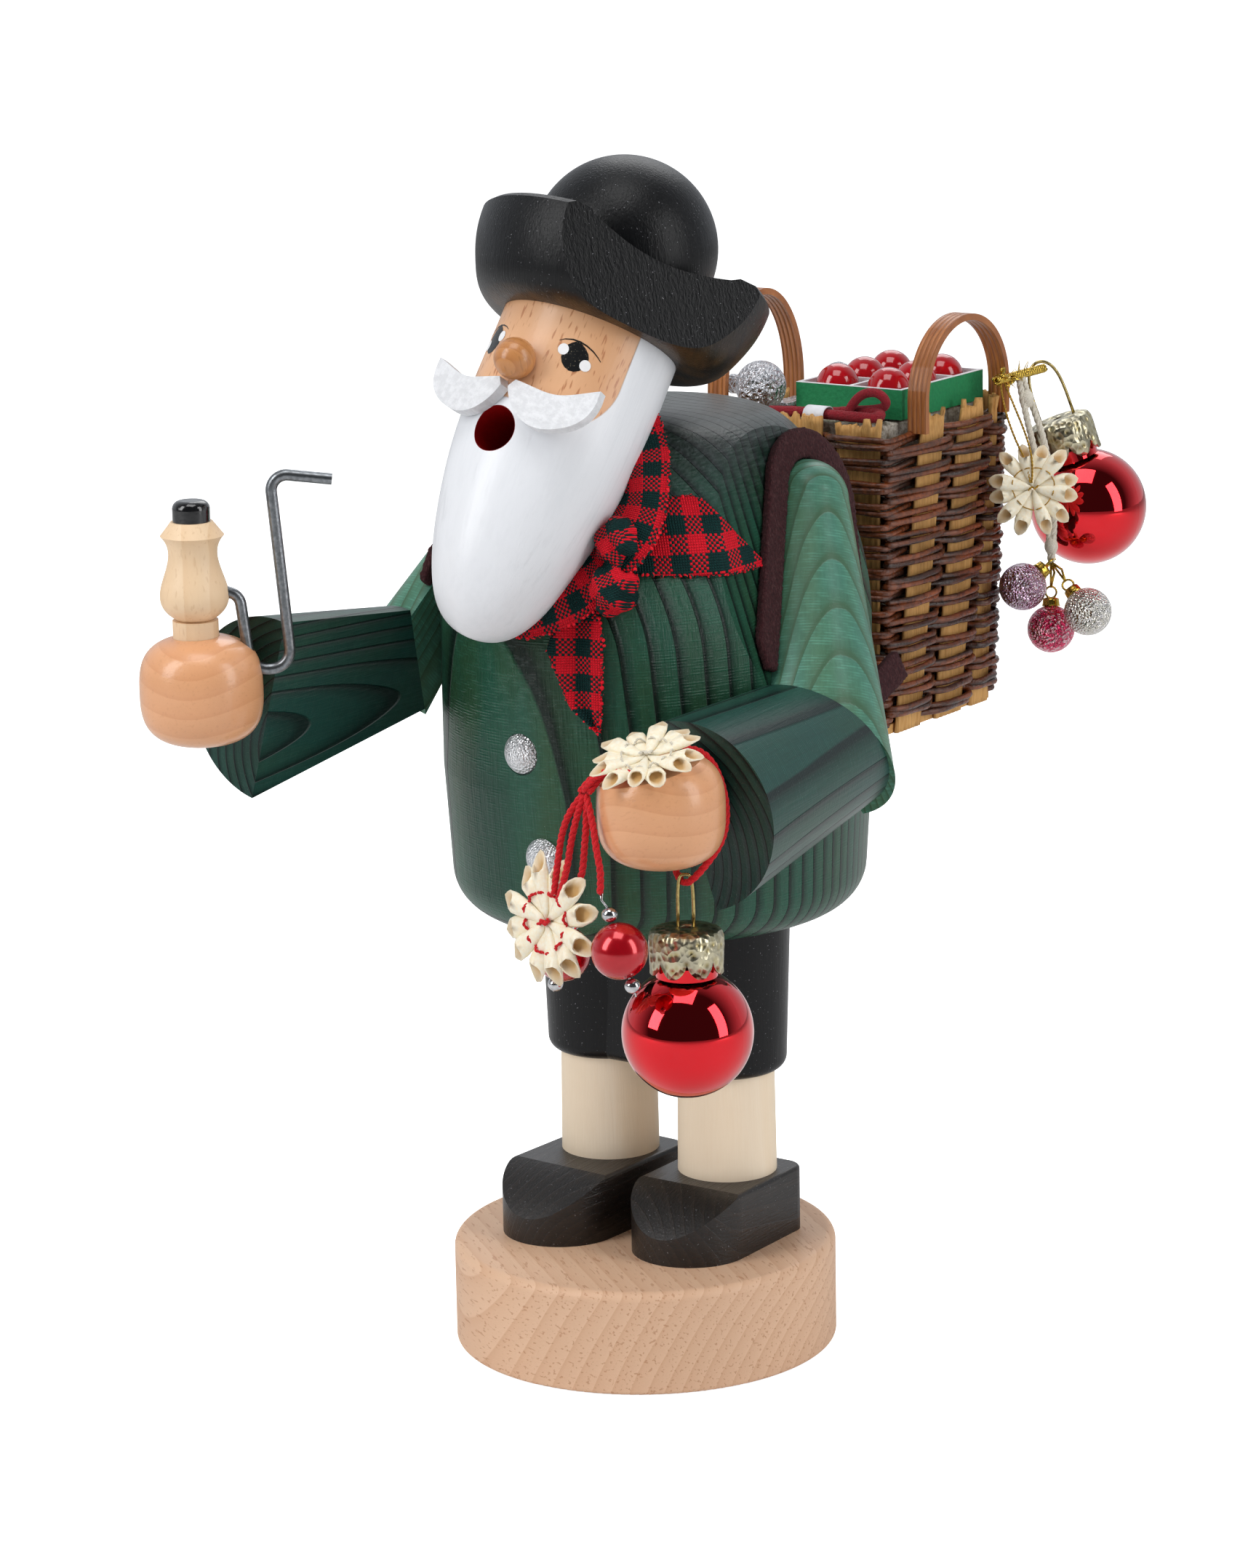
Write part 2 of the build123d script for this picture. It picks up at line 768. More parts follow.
with BuildPart() as hat:
    groove_low = math.sqrt(crown_radius**2 - (crown_radius - brim_edge)**2) - crown_lift
    with BuildSketch(Plane(brim_centre, x_dir=flat_way, z_dir=-hat_front)):
        with BuildLine():
            Polyline((0, -groove_low), (groove_radius, -groove_low), (brim_inner_radius, -brim_edge),
                     (brim_inner_radius + brim_edge, 0), (brim_radius - brim_edge, 0),
                     (brim_radius, -brim_edge))
            Spline((brim_radius, -brim_edge), (brim_belly_radius, -brim_belly_depth),
                   (brim_foot_radius, -brim_depth), tangents=[(0, -1), (-1, 0)])
            Polyline((brim_foot_radius, -brim_depth), (0, -brim_depth), (0, -groove_low))
        make_face()
    revolve(axis=Axis(brim_centre, hat_up))
    with Locations(rim_centre + hat_up * crown_lift):
        Sphere(crown_radius)
    for way, reach in ((1, brim_flat), (-1, brim_far_flat)):
        side_plane = Plane(rim_centre + flat_way * way * reach, x_dir=hat_front, z_dir=flat_way * way)
        with BuildSketch(side_plane):
            Rectangle(4 * brim_radius, 4 * brim_radius)
        extrude(amount=brim_radius, mode=Mode.SUBTRACT)
    recess_plane = Plane(on_head(0, 0, -head_into_hat - glue_gap), x_dir=head_plane.x_dir,
                         z_dir=-head_plane.z_dir)
    with BuildSketch(recess_plane):
        Circle(head_radius + glue_gap)
    extrude(amount=brim_depth, mode=Mode.SUBTRACT)
finish_piece(hat, "hat")


# Arms and hands

def half_taper(side, start, along, begin, begin_radius, end, end_radius, rounded):
    """Half of a turned taper standing on an arm flat, between two distances along its axis."""
    across = Vector(-along.Y, along.X)
    flat = arm_plane(side).offset(glue_gap)

    def place(t, r):
        point = start + along * t + across * r
        return (point.X, point.Y)

    with BuildPart() as form:
        with BuildSketch(flat):
            with BuildLine():
                Polyline(place(end, 0), place(begin, 0), place(begin, begin_radius),
                         place(end, end_radius))
                if rounded:
                    slant = end_radius * math.sqrt(1 / 2)
                    ThreePointArc(place(end, end_radius), place(end + slant, slant),
                                  place(end + end_radius, 0))
                    Line(place(end + end_radius, 0), place(end, 0))
                else:
                    Line(place(end, end_radius), place(end, 0))
            make_face()
        axis_start = flat.from_local_coords(Vector(start.X, start.Y, 0))
        axis_ahead = flat.from_local_coords(Vector(start.X + along.X, start.Y + along.Y, 0))
        revolve(axis=Axis(axis_start, axis_ahead - axis_start))
        split(bisect_by=flat, keep=Keep.TOP)
    return form


wrist_planes = {}
arm_lines = {}
for side, elbow, cuff, shoulder, elbow_radius, shoulder_radius, name, rise, out in (
        (1, left_elbow, left_cuff, left_shoulder, left_elbow_radius, left_shoulder_radius, "left",
         left_hand_rise, left_hand_out),
        (-1, right_elbow, right_cuff, right_shoulder, right_elbow_radius, right_shoulder_radius, "right",
         right_hand_rise, right_hand_out)):
    start, fore_way, fore_length = arm_axis(side, elbow, cuff)
    start, upper_way, upper_length = arm_axis(side, elbow, shoulder)
    arm_lines[side] = (start, upper_way, upper_length)
    fore_slope = (cuff_radius - elbow_radius) / fore_length
    upper_slope = (elbow_radius - shoulder_radius) / upper_length
    spare = 2 * elbow_radius
    mitre = (fore_way + upper_way).normalized()
    flat = arm_plane(side)
    elbow_point = flat.from_local_coords(Vector(start.X, start.Y, 0))
    mitre_way = flat.from_local_coords(Vector(start.X + mitre.X, start.Y + mitre.Y, 0)) - elbow_point
    mitre_normal = mitre_way.cross(flat.z_dir).normalized()
    fore_world = flat.from_local_coords(Vector(start.X + fore_way.X, start.Y + fore_way.Y, 0)) - elbow_point
    if mitre_normal.dot(fore_world) < 0:
        mitre_normal = -mitre_normal
    fore_cut = Plane(elbow_point + mitre_normal * glue_gap / 2, x_dir=mitre_way, z_dir=mitre_normal)
    upper_cut = Plane(elbow_point - mitre_normal * glue_gap / 2, x_dir=mitre_way, z_dir=-mitre_normal)
    wrist_way = Vector(-fore_way.Y, fore_way.X)
    if wrist_way.Y < 0:
        wrist_way = -wrist_way
    wrist = start + fore_way * (fore_length - wrist_dowel_reach) + wrist_way * rise
    wrist_origin = flat.from_local_coords(Vector(wrist.X, wrist.Y, out))
    wrist_planes[side] = Plane(wrist_origin, x_dir=flat.z_dir, z_dir=fore_world)

    with BuildPart() as forearm:
        add(half_taper(side, start, fore_way, -spare, elbow_radius - spare * fore_slope,
                       fore_length, cuff_radius, False).part)
        split(bisect_by=fore_cut, keep=Keep.TOP)
        with BuildSketch(wrist_planes[side]):
            Circle(arm_dowel_radius + glue_gap)
        extrude(amount=2 * wrist_dowel_reach, mode=Mode.SUBTRACT)
    finish_piece(forearm, name + "_forearm")

    with BuildPart() as upper_arm:
        add(half_taper(side, start, upper_way, -spare, elbow_radius + spare * upper_slope,
                       upper_length, shoulder_radius, True).part)
        split(bisect_by=upper_cut, keep=Keep.TOP)
        with BuildSketch(shoulder_dowel_plane[side]):
            Circle(arm_dowel_radius + glue_gap)
        extrude(amount=2 * arm_dowel_reach, mode=Mode.SUBTRACT)
    finish_piece(upper_arm, name + "_upper_arm")


def hand_centre(side, stand_off):
    """The middle of the round hand, in front of the cuff along the wrist's dowel."""
    plane = wrist_planes[side]
    return plane.origin + plane.z_dir * (wrist_dowel_reach + stand_off)


def bead(centre, radius):
    """A turned bead, a little lower than it is wide."""
    height = radius * hand_height_share
    with BuildPart() as turned:
        with BuildSketch(Plane(centre, x_dir=(1, 0, 0), z_dir=(0, -1, 0))):
            with BuildLine():
                Spline((0, -height), (radius, 0), (0, height), tangents=[(1, 0), (-1, 0)])
                Line((0, height), (0, -height))
            make_face()
        revolve(axis=Axis(centre, (0, 0, 1)))
    return turned


left_hand_place = hand_centre(1, left_hand_stand_off)
right_hand_place = hand_centre(-1, right_hand_stand_off)
hand_height = right_hand_radius * hand_height_share
pipe_x = right_hand_place.X + pipe_shift_x
pipe_y = right_hand_place.Y + pipe_shift_y
pipe_z = right_hand_place.Z + hand_height - pipe_sink

stem_way = Vector(math.cos(math.radians(stem_azimuth)), math.sin(math.radians(stem_azimuth)), 0)
stem_plane = Plane((pipe_x, pipe_y, pipe_z), x_dir=stem_way, z_dir=stem_way.cross(Vector(0, 0, 1)))
# Out from the pipe and up from its foot, as shares of the pipe's height
stem_shares = ((0.184, 0.437), (0.368, 0.368), (0.442, -0.263), (0.779, -0.242), (0.647, 1.379),
               (1.158, 1.316))
stem_points = [(x * pipe_top_z, z * pipe_top_z) for x, z in stem_shares]


def stem(radius):
    """The bent wire, of any radius."""
    with BuildPart() as wire:
        with BuildLine(stem_plane) as route:
            FilletPolyline(*stem_points, radius=stem_bends)
        start_way = route.line % 0
        with BuildSketch(Plane(route.line @ 0, z_dir=start_way)):
            Circle(radius)
        sweep()
    return wire


with BuildPart() as left_hand:
    add(bead(left_hand_place, left_hand_radius).part)
    flat_frame = Plane(Location(left_hand_place, (hand_flat_pitch, hand_flat_roll, 0)))
    with BuildSketch(flat_frame.offset(hand_flat_height)):
        Rectangle(4 * left_hand_radius, 4 * left_hand_radius)
    extrude(amount=left_hand_radius, mode=Mode.SUBTRACT)
    wrist_face = wrist_planes[1].offset(wrist_dowel_reach + glue_gap)
    split(bisect_by=wrist_face, keep=Keep.TOP)
    with BuildSketch(wrist_planes[1]):
        Circle(arm_dowel_radius + glue_gap)
    extrude(amount=2 * wrist_dowel_reach, mode=Mode.SUBTRACT)
finish_piece(left_hand, "left_hand")

with BuildPart() as right_hand:
    add(bead(right_hand_place, right_hand_radius).part)
    wrist_face = wrist_planes[-1].offset(wrist_dowel_reach + glue_gap)
    split(bisect_by=wrist_face, keep=Keep.TOP)
    with BuildSketch(wrist_planes[-1]):
        Circle(arm_dowel_radius + glue_gap)
    extrude(amount=2 * wrist_dowel_reach, mode=Mode.SUBTRACT)
    with BuildSketch(Plane((pipe_x, pipe_y, pipe_z))):
        Circle(pipe_bead_radius + glue_gap)
    extrude(amount=right_hand_radius, mode=Mode.SUBTRACT)
    add(stem(stem_radius + glue_gap).part, mode=Mode.SUBTRACT)
finish_piece(right_hand, "right_hand")

with BuildPart() as body_dowels:
    for side in (1, -1):
        with BuildSketch(shoulder_dowel_plane[side].offset(glue_gap)):
            Circle(arm_dowel_radius)
        extrude(amount=2 * (arm_dowel_reach - glue_gap))
        with BuildSketch(wrist_planes[side].offset(glue_gap)):
            Circle(arm_dowel_radius)
        extrude(amount=2 * (wrist_dowel_reach - glue_gap))
    with BuildSketch(back_peg_plane):
        Circle(back_peg_radius)
    extrude(amount=back_peg_length)
finish_piece(body_dowels, "body_dowels")


# Pipe

with BuildPart() as pipe_bowl:
    with BuildSketch(Plane((pipe_x, pipe_y, pipe_z), x_dir=(1, 0, 0), z_dir=(0, -1, 0))):
        with BuildLine():
            Polyline((0, pipe_top_z), (0, 0), (pipe_bead_radius, 0), (pipe_bead_radius, pipe_bead_height),
                     (pipe_neck_radius, pipe_bead_height))
            Spline((pipe_neck_radius, pipe_bead_height), (pipe_belly_radius, pipe_belly_z),
                   (pipe_waist_radius, pipe_waist_z), (pipe_flare_radius, pipe_flare_z))
            Polyline((pipe_flare_radius, pipe_flare_z), (pipe_top_radius, pipe_top_z), (0, pipe_top_z))
        make_face()
    revolve(axis=Axis((pipe_x, pipe_y, pipe_z), (0, 0, 1)))
    add(stem(stem_radius + glue_gap).part, mode=Mode.SUBTRACT)
finish_piece(pipe_bowl, "pipe_bowl")

with BuildPart() as pipe_lid:
    with Locations((pipe_x, pipe_y, pipe_z + pipe_top_z)):
        Cylinder(lid_radius, lid_height, align=(Align.CENTER, Align.CENTER, Align.MIN))
    fillet(pipe_lid.edges().sort_by(Axis.Z)[-1], lid_edge)
finish_piece(pipe_lid, "pipe_lid")
finish_piece(stem(stem_radius), "pipe_stem")


# Shoulder straps

def strap(side, elbow, shoulder, elbow_radius, shoulder_radius):
    """Felt glued on the flat round the shoulder's edge, then carried back to the basket."""
    start, along, length = arm_axis(side, elbow, shoulder)
    front = Vector(-along.Y, along.X)
    if front.X * side > 0:
        front = -front
    flat = arm_plane(side).offset(glue_gap)
    slope = (elbow_radius - shoulder_radius) / length

    def edge(t, extra):
        return elbow_radius - slope * t + extra

    def place(t, r):
        point = start + along * t + front * r
        return (point.X, point.Y)

    outer = strap_width + 2 * glue_gap
    inner = 2 * glue_gap
    top = length + shoulder_radius
    with BuildPart() as felt:
        with BuildSketch(flat):
            with BuildLine():
                Polyline(place(strap_tip, edge(strap_tip, strap_width / 2)),
                         place(strap_full, edge(strap_full, outer)),
                         place(length, edge(length, outer)))
                ThreePointArc(place(length, edge(length, outer)), place(top + outer, 0),
                              place(length, -edge(length, outer)))
                Polyline(place(length, -edge(length, outer)),
                         place(strap_leave, -edge(strap_leave, outer)),
                         place(strap_leave, -edge(strap_leave, inner)),
                         place(length, -edge(length, inner)))
                ThreePointArc(place(length, -edge(length, inner)), place(top + inner, 0),
                              place(length, edge(length, inner)))
                Line(place(length, edge(length, inner)), place(strap_tip, edge(strap_tip, inner)))
                Line(place(strap_tip, edge(strap_tip, inner)),
                     place(strap_tip, edge(strap_tip, strap_width / 2)))
            make_face()
        extrude(amount=strap_thickness)
        leave = Vector(*place(strap_leave, -edge(strap_leave, outer)))
        back = Vector(*flat_place(side, (strap_back_forward, strap_back_up)))
        carry = back - leave
        with BuildSketch(flat):
            with Locations(Location((leave + back) / 2, (0, 0, 1),
                                    math.degrees(math.atan2(carry.Y, carry.X)))):
                Rectangle(carry.length + strap_width, strap_width)
        extrude(amount=strap_thickness)
        band_start = flat.from_local_coords(Vector(back.X, back.Y, strap_thickness / 2))
        slant = (strap_end_z - basket_bottom) / (basket_rim - basket_bottom)
        wall_y = basket_y - basket_half_y + basket_taper * (1 - slant)
        band_end = Vector(basket_x + side * strap_end_x, wall_y - strap_thickness, strap_end_z)
        band_way = band_end - band_start
        band_length = band_way.length
        wide = arm_plane(side).y_dir
        band_plane = Plane(band_start, x_dir=band_way.cross(wide), z_dir=band_way)
        with BuildSketch(band_plane):
            Rectangle(strap_thickness, strap_width)
        extrude(amount=band_length)
    return felt


right_strap = strap(-1, right_elbow, right_shoulder, right_elbow_radius, right_shoulder_radius)
left_strap = strap(1, left_elbow, left_shoulder, left_elbow_radius, left_shoulder_radius)
finish_piece(right_strap, "right_strap")
finish_piece(left_strap, "left_strap")


# Neckerchief: a collar in the angle between beard and coat, a knot and two tails

coat_skin = coat_form(scarf_lift).part
coat_top_skin = coat_form(scarf_lift + scarf_thickness).part
knot_ring = coat_radius * math.sqrt(1 - ((knot_z - coat_shoulder_z) / shoulder_height)**2)
knot_surface_y = coat_y - math.sqrt(knot_ring**2 - knot_x**2)

with BuildPart() as scarf_band:
    collar_plane = Plane(on_head(0, head_seat_depth - glue_gap, scarf_collar_s),
                         x_dir=head_plane.x_dir, z_dir=-head_plane.y_dir)
    with BuildSketch(collar_plane):
        Ellipse(scarf_collar_half_x, scarf_collar_half_s)
    extrude(amount=scarf_collar_thickness)
    add(head_form(glue_gap).part, mode=Mode.SUBTRACT)
finish_piece(scarf_band, "scarf_band")

with BuildPart() as scarf_knot:
    with Locations((knot_x, knot_surface_y - knot_radius / 2, knot_z + knot_upper_rise),
                   (knot_x, knot_surface_y - knot_radius, knot_z - knot_lower_drop)):
        Sphere(knot_radius)
    add(coat_skin, mode=Mode.SUBTRACT)
    add(head_form(glue_gap).part, mode=Mode.SUBTRACT)
    add(scarf_band.part, mode=Mode.SUBTRACT)
finish_piece(scarf_knot, "scarf_knot")

# Across and up as shares of each tail's length, from the knot and from the side tail's root
front_tail_shares = ((-0.27, -0.23), (-0.07, -0.29), (-0.04, -0.44), (-0.054, -0.84), (-0.07, -0.97),
                     (-0.225, -0.82), (-0.354, -0.5))
side_tail_shares = ((-0.29, 0.075), (-0.14, 0.25), (0.255, 0.31), (0.37, 0.245), (0.61, -0.015),
                    (0.875, -0.31), (0.14, -0.26), (-0.32, -0.25))


def tail(plane, shares, length):
    """A cut ribbon that lies on the coat, its outline drawn on a plane in front of it."""
    outline = [(x * length, z * length) for x, z in shares]
    with BuildPart() as cloth:
        with BuildSketch(plane):
            with BuildLine():
                Polyline(*outline, close=True)
            make_face()
        extrude(amount=2 * coat_radius)
        add(coat_top_skin, mode=Mode.INTERSECT)
        add(coat_skin, mode=Mode.SUBTRACT)
        add(scarf_knot.part, mode=Mode.SUBTRACT)
        add(scarf_band.part, mode=Mode.SUBTRACT)
        add(left_strap.part, mode=Mode.SUBTRACT)
    return cloth


front_tail_plane = Plane((front_tail_x, coat_y, knot_z), x_dir=(1, 0, 0), z_dir=(0, -1, 0))
side_way = math.radians(side_tail_azimuth)
side_tail_plane = Plane((0, 0, side_tail_z), x_dir=(math.cos(side_way), math.sin(side_way), 0),
                        z_dir=(math.sin(side_way), -math.cos(side_way), 0))
finish_piece(tail(front_tail_plane, front_tail_shares, tail_length), "scarf_tail_front")
finish_piece(tail(side_tail_plane, side_tail_shares, side_tail_length), "scarf_tail_side")


# Basket

# The edges of the three stakes that lean on the left side, at the foot and at the rim, as shares of the
# half length of that side
leaning_turn = 1
leaning_feet_shares = ((-0.88, -0.42), (-0.137, 0.365), (0.54, 0.88))
leaning_heads_shares = ((-0.48, -0.09), (0.18, 0.62), (0.755, 0.845))
stake_inset = stake_thickness / 2 + weaver_thickness + weave_gap
weaver_swing = (stake_thickness + weaver_thickness) / 2 + weave_gap
wall_bottom_z = basket_bottom + floor_thickness
weaver_pitch = (basket_rim - wall_bottom_z) / weaver_rows


def height_share(z):
    """How far up the basket's wall a height lies."""
    return (z - basket_bottom) / (basket_rim - basket_bottom)


def stake_ring(z):
    """Half sizes of the ring of stakes at a height."""
    taper = basket_taper * (1 - height_share(z))
    return basket_half_x - stake_inset - taper, basket_half_y - stake_inset - taper


def stake_edges(turn, step, length, z):
    """Where the two edges of a stake lie along its side at a height."""
    share = height_share(z)
    if turn == leaning_turn:
        foot = leaning_feet_shares[step]
        head_edges = leaning_heads_shares[step]
        return [length * (low + (high - low) * share) for low, high in zip(foot, head_edges)]
    half = (stake_foot_width + (stake_width - stake_foot_width) * share) / 2
    middle = (step - (side_stakes - 1) / 2) * stake_spacing_share * length
    return [middle - half, middle + half]


def side_points(turn, along, out):
    """A place on one of the four sides, turned about the basket's middle."""
    spots = {0: (along, -out), 1: (out, along), 2: (-along, out), 3: (-out, -along)}
    x, y = spots[turn]
    return basket_x + x, basket_y + y


def weaver_route(z, start_over):
    """The zigzag of one row past the stakes, over and under by turns."""
    half_x, half_y = stake_ring(z)
    route = []
    over = start_over
    for turn in range(4):
        length, out = (half_x, half_y) if turn % 2 == 0 else (half_y, half_x)
        for step in range(side_stakes):
            near, far = stake_edges(turn, step, length, z)
            shift = weaver_swing if over else -weaver_swing
            route.append(side_points(turn, near - weaver_margin, out + shift))
            route.append(side_points(turn, far + weaver_margin, out + shift))
            over = not over
        route.append(side_points(turn, length, out))
    return route


with BuildPart() as basket_stakes:
    low_z = basket_bottom
    high_z = basket_rim + stake_stub
    for turn in range(4):
        for step in range(side_stakes):
            corners = []
            for z, edge in ((low_z, 0), (low_z, 1), (high_z, 1), (high_z, 0)):
                half_x, half_y = stake_ring(z)
                length, out = (half_x, half_y) if turn % 2 == 0 else (half_y, half_x)
                x, y = side_points(turn, stake_edges(turn, step, length, z)[edge], out)
                corners.append(Vector(x, y, z))
            across = corners[1] - corners[0]
            rise = (corners[3] + corners[2] - corners[0] - corners[1]) / 2
            face = Plane(corners[0], x_dir=across, z_dir=across.cross(rise))
            flat_corners = [face.to_local_coords(corner) for corner in corners]
            with BuildSketch(face.offset(-stake_thickness / 2)):
                with BuildLine():
                    Polyline(*[(c.X, c.Y) for c in flat_corners], close=True)
                make_face()
            extrude(amount=stake_thickness)
finish_piece(basket_stakes, "basket_stakes")

with BuildPart() as basket_weavers:
    for row in range(weaver_rows):
        row_z = wall_bottom_z + (row + 1 / 2) * weaver_pitch
        route = weaver_route(row_z, row % 2 == 0)
        with BuildSketch(Plane.XY.offset(row_z - weaver_height / 2)):
            with BuildLine() as middle_line:
                Polyline(*route, close=True)
            outer_face = offset(middle_line.line, amount=weaver_thickness / 2, kind=Kind.INTERSECTION,
                                mode=Mode.PRIVATE)
            inner_face = offset(middle_line.line, amount=-weaver_thickness / 2,
                                kind=Kind.INTERSECTION, mode=Mode.PRIVATE)
            add(make_face(outer_face.edges(), mode=Mode.PRIVATE))
            add(make_face(inner_face.edges(), mode=Mode.PRIVATE), mode=Mode.SUBTRACT)
        extrude(amount=weaver_height)
finish_piece(basket_weavers, "basket_weavers")

floor_x, floor_y = stake_ring(basket_bottom)
with BuildPart() as basket_floor:
    with Locations((basket_x, basket_y, basket_bottom)):
        Box(2 * floor_x - stake_thickness - 2 * glue_gap, 2 * floor_y - stake_thickness - 2 * glue_gap,
            floor_thickness, align=(Align.CENTER, Align.CENTER, Align.MIN))
finish_piece(basket_floor, "basket_floor")

wall_inner = stake_thickness / 2 + weaver_thickness + weave_gap
weave_top_z = basket_rim - (weaver_pitch - weaver_height) / 2


def handle(side, centre_y, half_span, top):
    """A flat split cane bent over one side, its feet set on the weave between two stakes."""
    face_x = basket_x + side * stake_ring(basket_rim)[0] - handle_width / 2
    foot_z = weave_top_z + handle_foot_gap
    rise = top - handle_spring_z
    inner_half = half_span - handle_thickness
    with BuildPart() as cane:
        with BuildSketch(Plane.YZ.offset(face_x)):
            with Locations((centre_y, handle_spring_z)):
                Ellipse(half_span, rise)
            with Locations((centre_y, handle_spring_z - rise)):
                Rectangle(2 * half_span, 2 * rise, mode=Mode.SUBTRACT)
            with Locations((centre_y, (handle_spring_z + foot_z) / 2)):
                Rectangle(2 * half_span, handle_spring_z - foot_z)
            with Locations((centre_y, handle_spring_z)):
                Ellipse(inner_half, rise - handle_thickness, mode=Mode.SUBTRACT)
            with Locations((centre_y, (handle_spring_z + foot_z) / 2)):
                Rectangle(2 * inner_half, handle_spring_z - foot_z, mode=Mode.SUBTRACT)
        extrude(amount=handle_width)
    return cane


finish_piece(handle(-1, right_handle_y, right_handle_half_span, right_handle_top), "right_basket_handle")
finish_piece(handle(1, left_handle_y, left_handle_half_span, left_handle_top), "left_basket_handle")

packing_x, packing_y = stake_ring(wall_bottom_z)
with BuildPart() as basket_packing:
    with Locations((basket_x, basket_y, wall_bottom_z)):
        Box(2 * (packing_x - wall_inner - weave_gap), 2 * (packing_y - wall_inner - weave_gap),
            packing_top - wall_bottom_z, align=(Align.CENTER, Align.CENTER, Align.MIN))
finish_piece(basket_packing, "basket_packing")

cell_x = (2 * tray_half_x - (tray_columns + 1) * tray_wall) / tray_columns
cell_y = (2 * tray_half_y - (tray_rows + 1) * tray_wall) / tray_rows
cell_places = [(tray_x + (i - (tray_columns - 1) / 2) * (cell_x + tray_wall),
                tray_y + (j - (tray_rows - 1) / 2) * (cell_y + tray_wall))
               for i in range(tray_columns) for j in range(tray_rows)]
tray_floor_z = packing_top + tray_wall
with BuildPart() as bauble_tray:
    with Locations((tray_x, tray_y, packing_top)):
        Box(2 * tray_half_x, 2 * tray_half_y, tray_height, align=(Align.CENTER, Align.CENTER, Align.MIN))
    with Locations(*[(x, y, tray_floor_z) for x, y in cell_places]):
        Box(cell_x, cell_y, tray_height, align=(Align.CENTER, Align.CENTER, Align.MIN),
            mode=Mode.SUBTRACT)
finish_piece(bauble_tray, "bauble_tray")

with BuildPart() as tray_baubles:
    with Locations(*[(x, y, tray_floor_z + tray_ball_radius) for x, y in cell_places]):
        Sphere(tray_ball_radius)
finish_piece(tray_baubles, "tray_baubles")

with BuildPart() as silver_trinkets:
    with Locations((ornament_x, ornament_y, packing_top + ornament_radius)):
        Sphere(ornament_radius)
    with BuildSketch(Plane((ornament_x, ornament_y, packing_top + ornament_radius), x_dir=(0, 1, 0),
                           z_dir=(-1, 0, 0))):
        Circle(ornament_cap_radius)
    extrude(amount=ornament_radius + ornament_cap_height)
    with Locations((trinket_bead_x, trinket_bead_y, packing_top + trinket_bead_radius)):
        Sphere(trinket_bead_radius)
    with BuildSketch(Plane((fork_x, fork_y, packing_top))):
        Rectangle(fork_width, fork_length)
        for way in (-1, 1):
            with Locations((way * fork_width / 5, fork_length / 3)):
                Rectangle(fork_width / 5, fork_length / 3, mode=Mode.SUBTRACT)
    extrude(amount=fork_thickness)
finish_piece(silver_trinkets, "silver_trinkets")

bow_z = packing_top + bow_tube
bow_turn = 2 * bow_tube + weave_gap
with BuildPart() as red_cord_bow:
    with BuildLine(Plane.XY.offset(bow_z)) as route:
        FilletPolyline((bow_x - bow_half, bow_y - bow_turn / 2), (bow_x + bow_half, bow_y - bow_turn / 2),
                       (bow_x + bow_half, bow_y + bow_turn), (bow_x, bow_y + bow_turn),
                       radius=bow_turn / 2)
    with BuildSketch(Plane(route.line @ 0, z_dir=route.line % 0)):
        Circle(bow_tube)
    sweep()
finish_piece(red_cord_bow, "red_cord_bow")


# Straw stars

def star(centre, radius, facing_azimuth, facing_height, thickness):
    """Flattened straws tied in the middle."""
    azimuth = math.radians(facing_azimuth)
    height = math.radians(facing_height)
    facing = Vector(math.sin(azimuth) * math.cos(height), -math.cos(azimuth) * math.cos(height),
                    math.sin(height))
    face = Plane(centre, x_dir=(math.cos(azimuth), math.sin(azimuth), 0), z_dir=facing)
    points = []
    for step in range(2 * star_petals):
        reach = radius if step % 2 == 0 else radius * star_waist_share
        angle = math.pi * step / star_petals
        points.append((reach * math.cos(angle), reach * math.sin(angle)))
    with BuildPart() as straws:
        with BuildSketch(face.offset(-thickness / 2)):
            with BuildLine():
                Polyline(*points, close=True)
            make_face()
        extrude(amount=thickness)
    return straws


hand_star_place = left_hand_place + Vector(hand_star_aside, -hand_star_front, hand_star_rise)
with BuildPart() as hand_star:
    add(star(hand_star_place, hand_star_radius, hand_star_azimuth, hand_star_height, star_thickness).part)
    add(left_hand.part, mode=Mode.SUBTRACT)
finish_piece(hand_star, "hand_star")


# Gold thread tie

with BuildPart() as gold_tie:
    with BuildSketch(Plane((tie_x, tie_near_y, tie_z), x_dir=(1, 0, 0), z_dir=(0, 1, 0))):
        Circle(tie_radius)
    extrude(amount=tie_far_y - tie_near_y)
finish_piece(gold_tie, "gold_tie")


# Hanging bauble of the left hand

def cord(points, radius, bends):
    """A round cord along straight runs joined by tangent arcs."""
    with BuildPart() as run:
        with BuildLine() as route:
            FilletPolyline(*points, radius=bends)
        with BuildSketch(Plane(route.line @ 0, z_dir=route.line % 0)):
            Circle(radius)
        sweep()
    return run


